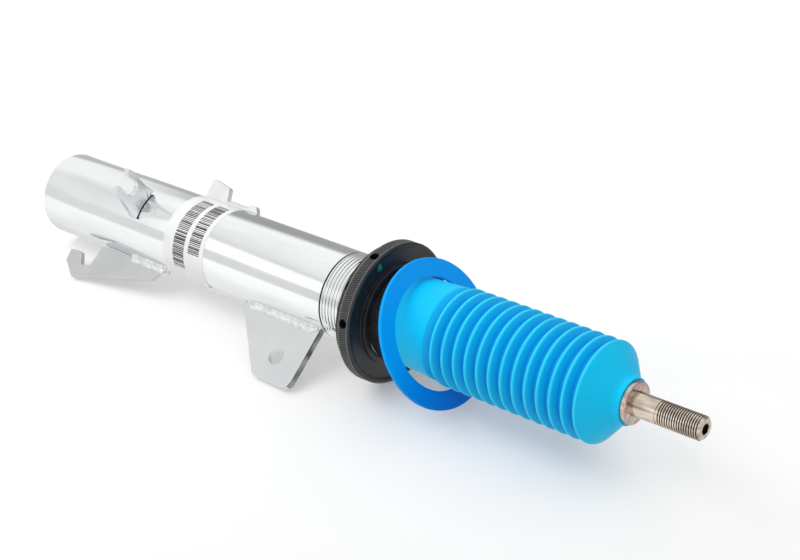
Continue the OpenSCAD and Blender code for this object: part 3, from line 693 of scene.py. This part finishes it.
def weld_bead(start, along, length, across, out, width, height, ripple=1.7 * MM, parts=4):
    """A bead from start, of ripples along one line: across and out are the axes of its oval section."""
    along, across, out = (Vector(v).normalized() for v in (along, across, out))
    steps = max(8, round(length / ripple)) * parts
    circle = bmesh.ops.create_circle(beads_mesh, cap_ends=True, radius=1, segments=16)["verts"]
    unit = [(v, v.co.x, v.co.y) for v in circle]
    face = circle[0].link_faces[0]
    sway, swell, drift, growth = 0.0, 0.0, 0.0, 0.0
    for i in range(steps + 1):
        t = i / steps
        if i % parts == 0:
            drift = bead_random.uniform(-bead_sway, bead_sway) - sway * bead_calm
            growth = bead_random.uniform(-bead_swell, bead_swell) - swell * bead_calm
        sway += drift / parts
        swell += growth / parts
        from_end = min(t, 1 - t, bead_end)
        closing = max(bead_least, math.sin(math.pi * from_end / (2 * bead_end)))
        crest = 1 - ripple_dip * abs(i % parts - parts / 2) / (parts / 2)
        if i:
            face = bmesh.ops.extrude_discrete_faces(beads_mesh, faces=[face])["faces"][0]
            ring = [loop.vert for loop in face.loops]
            unit = [(v, a, b) for v, (_, a, b) in zip(ring, unit)]
        for v, a, b in unit:
            wide = width * (1 + swell) * closing * a
            high = height * crest * (1 + swell * 0.6) * closing * b
            lag = ripple * ripple_lag * (1 - a * a) * (1 if b > 0 else 0)
            v.co = Vector(start) + along * (length * t + lag) + across * (wide + width * sway) + out * high


def radial(angle):
    """The way straight out from the strut's axis, at an angle from the front."""
    return Vector((0, -math.cos(math.radians(angle)), math.sin(math.radians(angle))))


def foot_bead(angle, thickness, side, x0, length, width, height):
    """A bead in the corner between the tube and one face of a plate that stands on it."""
    outward = radial(angle)
    sideways = radial(angle + 90) * side
    start = outward * (tube_r - 0.1 * MM) + sideways * (thickness / 2 + 0.1 * MM) + Vector((x0, 0, 0))
    weld_bead(start, (1, 0, 0), length, outward - sideways, outward + sideways, width, height)


plate_angle, rear_angle, clip_angle = -37, 130, 56
for side in (-1, 1):
    foot_bead(
        plate_angle, thickness=5 * MM, side=side, x0=191.5 * MM, length=60 * MM,
        width=5.6 * MM, height=3.1 * MM,
    )
    foot_bead(
        plate_angle, thickness=4 * MM, side=side, x0=82 * MM, length=32.5 * MM,
        width=5.4 * MM, height=3.2 * MM,
    )
foot_bead(rear_angle, thickness=4 * MM, side=1, x0=122 * MM, length=42 * MM, width=3.6 * MM, height=2.2 * MM)
clip_bead_x, clip_bead_r, clip_bead_half = 87.6 * MM, tube_r + 0.2 * MM, 10 * MM
clip_along = Vector((0, math.sin(math.radians(clip_angle)), math.cos(math.radians(clip_angle))))
clip_out = radial(clip_angle)
weld_bead(
    clip_out * clip_bead_r + Vector((clip_bead_x, 0, 0)) - clip_along * clip_bead_half,
    clip_along, length=2 * clip_bead_half, across=Vector((-1, 0, 0)) - clip_out,
    out=clip_out - Vector((1, 0, 0)), width=4.0 * MM, height=3.0 * MM,
)
bmesh.ops.recalc_face_normals(beads_mesh, faces=beads_mesh.faces[:])
beads = add_piece("rippled_weld_beads", beads_mesh, 50)
weld_zinc = Finish("weld_zinc", 1.0)
weld_zinc.colour(weld_zinc.noise(260), (0.70, 0.725, 0.72), (0.90, 0.915, 0.91))
weld_zinc.roughness(weld_zinc.noise(380), 0.18, 0.36)
weld_zinc.bump(weld_zinc.noise(700, 3), 0.00006)
dress(beads, weld_zinc)
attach(beads, "housing")
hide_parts("weld_beads")

# Spring perch: turned from aluminium bar and black anodised, with a knurled rim,
# six blind holes for a pin spanner and a spigot that centres the spring. The knurl's
# crests carry a painted highlight, paler than the rest, and the rim's back edge is
# paler too.
perch_x0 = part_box("spring_perch")[0].x
perch_r = 43.5 * MM
perch_bore = 27.55 * MM
rim_t = 9 * MM
rim_bevel = 1 * MM
seat_sink = 1.2 * MM
spigot_r = 31.5 * MM
spigot_h = 3 * MM
knurl_count = 240
knurl_depth = 0.45 * MM
knurl_rows = 8
knurl_slant = 0.6 * MM
lip_r0, lip_r1 = perch_r - rim_bevel - 1.5 * MM, perch_r - rim_bevel - 2.7 * MM
front_x = perch_x0 + rim_t
seat_x = front_x - seat_sink
knurl_x0, knurl_x1 = perch_x0 + rim_bevel, front_x - rim_bevel
perch_mesh = bmesh.new()
spin_outline(perch_mesh, eased([
    (perch_x0, perch_bore, 0), (perch_x0, perch_r - rim_bevel, 0.2 * MM),
    *[(knurl_x0 + (knurl_x1 - knurl_x0) * k / knurl_rows, perch_r, 0) for k in range(knurl_rows + 1)],
    (front_x, perch_r - rim_bevel, 0.2 * MM), (front_x, lip_r0, 0.3 * MM),
    (seat_x, lip_r1, 0.5 * MM), (seat_x, spigot_r, 0.4 * MM),
    (seat_x + spigot_h, spigot_r, 0.5 * MM), (seat_x + spigot_h, perch_bore, 0.15 * MM),
]), steps=knurl_count * 4)
for v in perch_mesh.verts:
    r = math.hypot(v.co.y, v.co.z)
    if r > perch_r - 0.01 * MM and knurl_x0 + 0.1 * MM < v.co.x < knurl_x1 - 0.1 * MM:
        phase = knurl_count * math.atan2(v.co.z, v.co.y) + (v.co.x - knurl_x0) / knurl_slant
        v.co.yz = v.co.yz * ((r - knurl_depth * (0.5 - 0.5 * math.cos(phase))) / r)
spring_perch = add_piece("knurled_spring_perch", perch_mesh, 42)
spanner_r, spanner_depth, spanner_turn = 2.8 * MM, 9 * MM, 164
drill_proud = 4 * MM
drill = bmesh.new()
for i in range(6):
    towards = Matrix.Rotation(math.radians(spanner_turn - 60 * i), 4, "X")
    outwards = Matrix.Translation((0, perch_r - spanner_depth / 2 + drill_proud / 2, 0))
    bmesh.ops.create_cone(
        drill, cap_ends=True, segments=32, radius1=spanner_r, radius2=spanner_r,
        depth=spanner_depth + drill_proud,
        matrix=Matrix.Translation((perch_x0 + rim_t / 2, 0, 0)) @ towards @ outwards
        @ Matrix.Rotation(math.pi / 2, 4, "X"),
    )
cut_out(spring_perch, drill, 42)
black_hard = Finish("black_hard_coat", 0.0, specular=0.5)
black_hard.colour(black_hard.noise(160), (0.010, 0.010, 0.012), (0.019, 0.019, 0.022))
black_hard.roughness(black_hard.noise(420), 0.26, 0.36)
black_hard.bump(black_hard.noise(1600, 2), 0.000008)


def radius_share(finish, inner, outer):
    """How far out a point lies between two radii about the strut's axis, from 0 to 1."""
    off_axis = measure(finish.tree, "MULTIPLY", finish.coords.outputs["Object"], (0, 1, 1))
    return share_between(finish.tree, measure(finish.tree, "LENGTH", off_axis), inner, outer)


# Painted highlight: the knurl's crests are paler than its grooves, by radius.
knurl_black_and_highlight = Finish("knurl_black_and_highlight", 0.0, specular=0.6)
knurl_black_and_highlight.shade(knurl_black_and_highlight.ramp(radius_share(knurl_black_and_highlight, perch_r - knurl_depth, perch_r), [
    (0.0, (0.006, 0.006, 0.007)), (0.6, (0.010, 0.010, 0.012)), (1.0, (0.21, 0.21, 0.215)),
]))
knurl_black_and_highlight.roughness(knurl_black_and_highlight.noise(420), 0.22, 0.32)
# The rim's back edge: a paler, partly metallic grey.
pale_back_edge = Finish("pale_back_edge", 0.6)
pale_back_edge.colour(pale_back_edge.noise(500), (0.16, 0.16, 0.165), (0.42, 0.42, 0.43))
pale_back_edge.roughness(pale_back_edge.noise(500), 0.25, 0.4)
rim_band_r, back_edge_x = perch_r - knurl_depth - 0.05 * MM, knurl_x0 + 0.3 * MM
dress(spring_perch, black_hard)
dress_part(spring_perch, knurl_black_and_highlight, lambda face, r: r > rim_band_r and back_edge_x < face.center.x < knurl_x1)
dress_part(spring_perch, pale_back_edge, lambda face, r: r > rim_band_r and face.center.x <= back_edge_x)
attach(spring_perch, "perch")
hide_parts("spring_perch")

# Paint mark: a dab of green paint on the perch's seat, put on by hand when the perch was
# checked at the works, so its outline is uneven.
mark_turn, mark_r = 74, 36.7 * MM
mark_t, mark_w, mark_h = 0.16, 1.9, 2.4
mark_unevenness = 0.12
mark_mesh = bmesh.new()
bmesh.ops.create_uvsphere(mark_mesh, u_segments=20, v_segments=10, radius=1 * MM)
for v in mark_mesh.verts:
    uneven = 1 + mark_unevenness * math.sin(3 * math.atan2(v.co.y, v.co.z) + 1)
    v.co = Vector((v.co.x * mark_t, v.co.y * mark_w * uneven, v.co.z * mark_h * uneven))
mark_centre = radial(mark_turn) * mark_r
mark_centre.x = seat_x + 0.02 * MM
bmesh.ops.translate(mark_mesh, verts=mark_mesh.verts[:], vec=mark_centre)
mark = add_piece("paint_mark", mark_mesh, 60)
mark_paint = Finish("mark_paint", 0.0)
mark_paint.colour(mark_paint.noise(900), (0.0, 0.16, 0.10), (0.01, 0.30, 0.19))
mark_paint.roughness(mark_paint.noise(900), 0.4, 0.55)
dress(mark, mark_paint)
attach(mark, "perch")

# Lock ring: a thin ring run up against the perch's back to lock it, turned and black
# anodised like the perch. Its six wrench slots are milled from the perch's side.
lock_x0, lock_x1 = (corner.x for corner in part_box("lock_ring"))
lock_r = 39.7 * MM
slot_w, slot_depth, slot_web = 5 * MM, 3 * MM, 1 * MM
lock_mesh = bmesh.new()
spin_outline(lock_mesh, eased([
    (lock_x0, perch_bore, 0.3 * MM), (lock_x0, lock_r, 0.6 * MM),
    (lock_x1, lock_r, 0.6 * MM), (lock_x1, perch_bore, 0.3 * MM),
]), steps=160)
lock_ring = add_piece("slotted_lock_ring", lock_mesh, 42)
slot_x0, slot_x1 = lock_x0 + slot_web, lock_x1 + 1 * MM
slot_turn, slot_proud = 134, 2 * MM
slot_tool = bmesh.new()
for i in range(6):
    bmesh.ops.create_cube(
        slot_tool, size=1, matrix=Matrix.Rotation(math.radians(slot_turn - 60 * i), 4, "X")
        @ Matrix.Translation(((slot_x0 + slot_x1) / 2, lock_r - slot_depth / 2 + slot_proud / 2, 0))
        @ Matrix.Diagonal((slot_x1 - slot_x0, slot_depth + slot_proud, slot_w, 1)),
    )
cut_out(lock_ring, slot_tool, 42)
dress(lock_ring, black_hard)
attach(lock_ring, "perch")
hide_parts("lock_ring")

# Guide head: a black anodised plug with a flange on the tube's open end. Its neck
# carries the wiper seal and centres the boot's collar. Its flange is a little wider than
# the tube's end, which it covers.
guide_head = softened_copy("guide_head", "eased_guide_head", 0.15 * MM)
head_x, head_r = 299.9 * MM, 27 * MM
head_growth = 0.25 * MM / (27.2 * MM)
for v in guide_head.data.vertices:
    if v.co.x > head_x and math.hypot(v.co.y, v.co.z) > head_r:
        v.co.yz = v.co.yz * (1 + head_growth)
dress(guide_head, black_hard)
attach(guide_head, "housing")
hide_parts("guide_head")

# Pad ring: a flat moulded ring that lies loose round the boot's collar and leans
# on it, with its top towards the perch. Its edges are rounded by the mould, and its blue
# is painted darker towards its foot, as painted shade from the boot.
pad_ring = softened_copy("pad_ring", "rounded_pad_ring", 0.55 * MM, 3)
pad_plastic = Finish("pad_plastic", 0.0, specular=0.1)
pad_height = pad_plastic.tree.nodes.new("ShaderNodeSeparateXYZ")
pad_plastic.tree.links.new(pad_plastic.coords.outputs["Object"], pad_height.inputs[0])
# Painted shade: the blue darkens from the height of the strut's axis down to the ring's foot.
pad_foot = -48 * MM
pad_shade_share = share_between(pad_plastic.tree, pad_height.outputs["Z"], pad_foot, 0)
pad_plastic.shade(pad_plastic.ramp(pad_shade_share, [(0.0, (0.0, 0.19, 0.78)), (1.0, (0.0, 0.38, 1.0))]))
pad_plastic.roughness(pad_plastic.noise(300), 0.40, 0.50)
pad_plastic.bump(pad_plastic.noise(1300, 2), 0.000008)
dress(pad_ring, pad_plastic)
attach(pad_ring, "pad")
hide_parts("pad_ring")

# Dust boot: blow-moulded bellows of soft light-blue plastic, with a flared collar over
# the guide head, thirteen folds, and a tapered end whose neck grips the boot washer.
boot_x0, boot_x1 = (corner.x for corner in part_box("dust_boot"))
fold_r = 29.7 * MM
valley_r = 24.9 * MM
boot_wall = 1.2 * MM
collar_r0, collar_r1 = 26.7 * MM, 28.4 * MM
collar_end = boot_x0 + 32.1 * MM
fold_pitch = 8.37 * MM
fold_crest = 1.6 * MM
fold_ease = 0.8 * MM
fold_count = 13
fold_x = [collar_end + fold_pitch * (i + 1) for i in range(fold_count)]
neck_r = 13.7 * MM
taper_x = fold_x[-1] + fold_crest / 2
neck_x = taper_x + (fold_r - neck_r) / math.tan(math.radians(50))


def boot_skin(inset, ease):
    """Outline of one skin, from the collar to the neck, with its corners' reach."""
    crest = fold_crest / 2 - inset / 3
    valley = fold_pitch / 2 - fold_crest / 2 - inset / 3
    points = [
        (boot_x0, collar_r0 - inset, 0.2 * MM * ease),
        (collar_end + crest, collar_r1 - inset, 0.9 * MM * ease),
    ]
    for x in fold_x:
        points += [
            (x - valley, valley_r - inset, fold_ease * ease), (x - crest, fold_r - inset, fold_ease * ease),
            (x + crest, fold_r - inset, fold_ease * ease), (x + valley, valley_r - inset, fold_ease * ease),
        ]
    return points[:-1] + [(neck_x, neck_r - inset, 4.2 * MM), (boot_x1, neck_r - inset, 0.3 * MM * ease)]


boot_mesh = bmesh.new()
spin_outline(boot_mesh, eased(boot_skin(0, 1) + boot_skin(boot_wall, 0)[::-1], steps=4), steps=128)
boot = add_piece("folded_boot", boot_mesh, 60)
boot_plastic = Finish("boot_plastic", 0.0, specular=0.2)
boot_reach = boot_plastic.tree.nodes.new("ShaderNodeSeparateXYZ")
boot_plastic.tree.links.new(boot_plastic.coords.outputs["Object"], boot_reach.inputs[0])
# Painted shade and highlight: within the folds the blue is painted darker in the valleys and brighter on the
# crests, by radius.
fold_shade_and_highlight = boot_plastic.ramp(radius_share(boot_plastic, valley_r, fold_r), [
    (0.0, (0.0, 0.33, 0.74)), (0.35, (0.0, 0.46, 0.86)), (0.88, (0.0, 0.53, 0.91)), (1.0, (0.03, 0.68, 1.0)),
])
plain_shade = boot_plastic.ramp(
    boot_plastic.noise(40), [(0.35, (0.0, 0.565, 0.93)), (0.65, (0.0, 0.595, 0.96))]
)
folds_from = collar_end + 1 * MM
in_folds = work_out(
    boot_plastic.tree, "COMPARE", boot_reach.outputs["X"],
    (folds_from + taper_x) / 2, (taper_x - folds_from) / 2,
)
boot_plastic.shade(mix_colours(boot_plastic.tree, in_folds, plain_shade, fold_shade_and_highlight))
boot_plastic.roughness(boot_plastic.noise(220), 0.40, 0.50)
boot_plastic.bump(boot_plastic.noise(900, 2), 0.00001)
dress(boot, boot_plastic)
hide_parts("dust_boot")
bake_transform(boot)

# Boot washer: a turned collar, yellow zinc plated, that the boot's neck is pressed on.
# Its passivated film plays from gold to pink and green.
boot_washer = softened_copy("boot_washer", "eased_boot_washer", 0.35 * MM, 3)
yellow_zinc = Finish("yellow_zinc", 1.0)
yellow_zinc.shade(yellow_zinc.ramp(yellow_zinc.noise(75, 3), [
    (0.30, (0.14, 0.11, 0.08)), (0.42, (0.78, 0.67, 0.46)),
    (0.53, (0.52, 0.38, 0.37)), (0.64, (0.60, 0.62, 0.46)),
]))
yellow_zinc.roughness(yellow_zinc.noise(400), 0.10, 0.18)
dress(boot_washer, yellow_zinc)
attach(boot_washer, "boot_top")
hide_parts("boot_washer")

# End stud: turned and phosphated steel plug of the damper tube, with a thread for the
# top mount, a groove below it, and a hexagon socket that holds the stud while it is tightened.
# The thread's roots are painted darker than its crests, as painted shade in its grooves.
stud_x0, stud_x1 = (corner.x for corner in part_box("end_stud"))
stud_r = 7 * MM
stud_thread_x = stud_x1 - 26.6 * MM
groove_w, groove_depth = 1.2 * MM, 0.75 * MM
flange_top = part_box("boot_washer")[0].x - 0.3 * MM
flange_t = 3 * MM
damper_r, barrel_r = 22.5 * MM, 20 * MM
stud_mesh = bmesh.new()
spin_outline(stud_mesh, eased([
    (stud_x0, 0, 0), (stud_x0, barrel_r, 0.4 * MM), (flange_top - flange_t, barrel_r, 0),
    (flange_top - flange_t, damper_r, 0), (flange_top - 1.5 * MM, damper_r, 0.3 * MM),
    (flange_top, damper_r - 3 * MM, 0.3 * MM), (flange_top, stud_r, 0.3 * MM),
    (stud_thread_x - groove_w, stud_r, 0.25 * MM),
    (stud_thread_x - groove_w, stud_r - groove_depth, 0.2 * MM),
    (stud_thread_x, stud_r - groove_depth, 0), (stud_thread_x, 0, 0),
]), steps=96)
join_mesh(stud_mesh, thread_shell(
    stud_thread_x, stud_x1, stud_r, pitch=1.5 * MM, depth=0.85 * MM, steps=72, inner=0, bevel=1.3 * MM,
))
end_stud = add_piece("threaded_end_stud", stud_mesh, 35)
socket_tool = bmesh.new()
socket_r, socket_depth = 3 * MM / math.cos(math.radians(30)), 7 * MM
bmesh.ops.create_cone(
    socket_tool, cap_ends=True, segments=6, radius1=socket_r, radius2=socket_r, depth=2 * socket_depth,
    matrix=Matrix.Translation((stud_x1, 0, 0)) @ Matrix.Rotation(math.pi / 2, 4, "Y"),
)
cut_out(end_stud, socket_tool, 35)
# Painted reflection: the steel's own brown tone runs in streaks along the axis, like reflected thin dark
# lines.
stud_steel_and_reflections = Finish("stud_steel_and_reflections", 1.0, stretch=(0.25, 1, 1))
stud_steel_and_reflections.colour(stud_steel_and_reflections.noise(220, 3), (0.34, 0.27, 0.21), (0.78, 0.69, 0.58), spread=(0.32, 0.64))
stud_steel_and_reflections.roughness(stud_steel_and_reflections.noise(420), 0.08, 0.16)
stud_steel_and_reflections.bump(stud_steel_and_reflections.noise(1500, 2), 0.00001)
dress(end_stud, stud_steel_and_reflections)
# Painted shade: a dark brown steel on the faces in the thread's roots.
root_shade_steel = Finish("root_shade_steel", 1.0)
root_shade_steel.colour(root_shade_steel.noise(220, 3), (0.10, 0.07, 0.05), (0.26, 0.20, 0.15))
root_shade_steel.roughness(root_shade_steel.noise(420), 0.16, 0.28)
stud_root_x, stud_root_r = stud_x1 - 1 * MM, stud_r - 0.42 * MM
dress_part(end_stud, root_shade_steel, lambda face, r: (
    stud_thread_x < face.center.x < stud_root_x and socket_r < r < stud_root_r
))
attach(end_stud, "damper")
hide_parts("end_stud")

# Inner pieces: the piston rod with its stops and piston, the bushes and seals, and the
# damper tube with its gas piston. They show only in the open lower end, or not at all.
inner_finishes = {
    "bright_steel": (1.0, (0.50, 0.51, 0.52), (0.64, 0.65, 0.66), 0.24, 0.38),
    "bush_bronze": (1.0, (0.46, 0.33, 0.19), (0.60, 0.46, 0.29), 0.32, 0.48),
    "black_rubber": (0.0, (0.016, 0.016, 0.018), (0.032, 0.032, 0.034), 0.55, 0.70),
    "brown_rubber": (0.0, (0.10, 0.07, 0.045), (0.15, 0.11, 0.075), 0.60, 0.75),
    "hard_chrome": (1.0, (0.72, 0.74, 0.76), (0.82, 0.83, 0.85), 0.06, 0.12),
    "foam_cream": (0.0, (0.72, 0.60, 0.28), (0.82, 0.71, 0.38), 0.75, 0.90),
    "spring_steel": (1.0, (0.20, 0.23, 0.30), (0.32, 0.35, 0.41), 0.24, 0.36),
    "sintered_iron": (1.0, (0.32, 0.33, 0.35), (0.46, 0.47, 0.49), 0.42, 0.58),
    "band_green": (0.0, (0.05, 0.15, 0.11), (0.08, 0.21, 0.16), 0.45, 0.60),
    "turned_aluminium": (1.0, (0.66, 0.68, 0.70), (0.78, 0.79, 0.81), 0.20, 0.34),
}
for slot, (metallic, low, high, smooth, rough) in inner_finishes.items():
    finish = Finish(slot, metallic)
    finish.colour(finish.noise(130), low, high)
    finish.roughness(finish.noise(340), smooth, rough)
    finish.bump(finish.noise(1100, 2), 0.00001)
    for subpart in frame["record"]["subparts"]:
        if subpart["material_slot"] == slot:
            dress(frame["nodes"][subpart["node"]], finish)
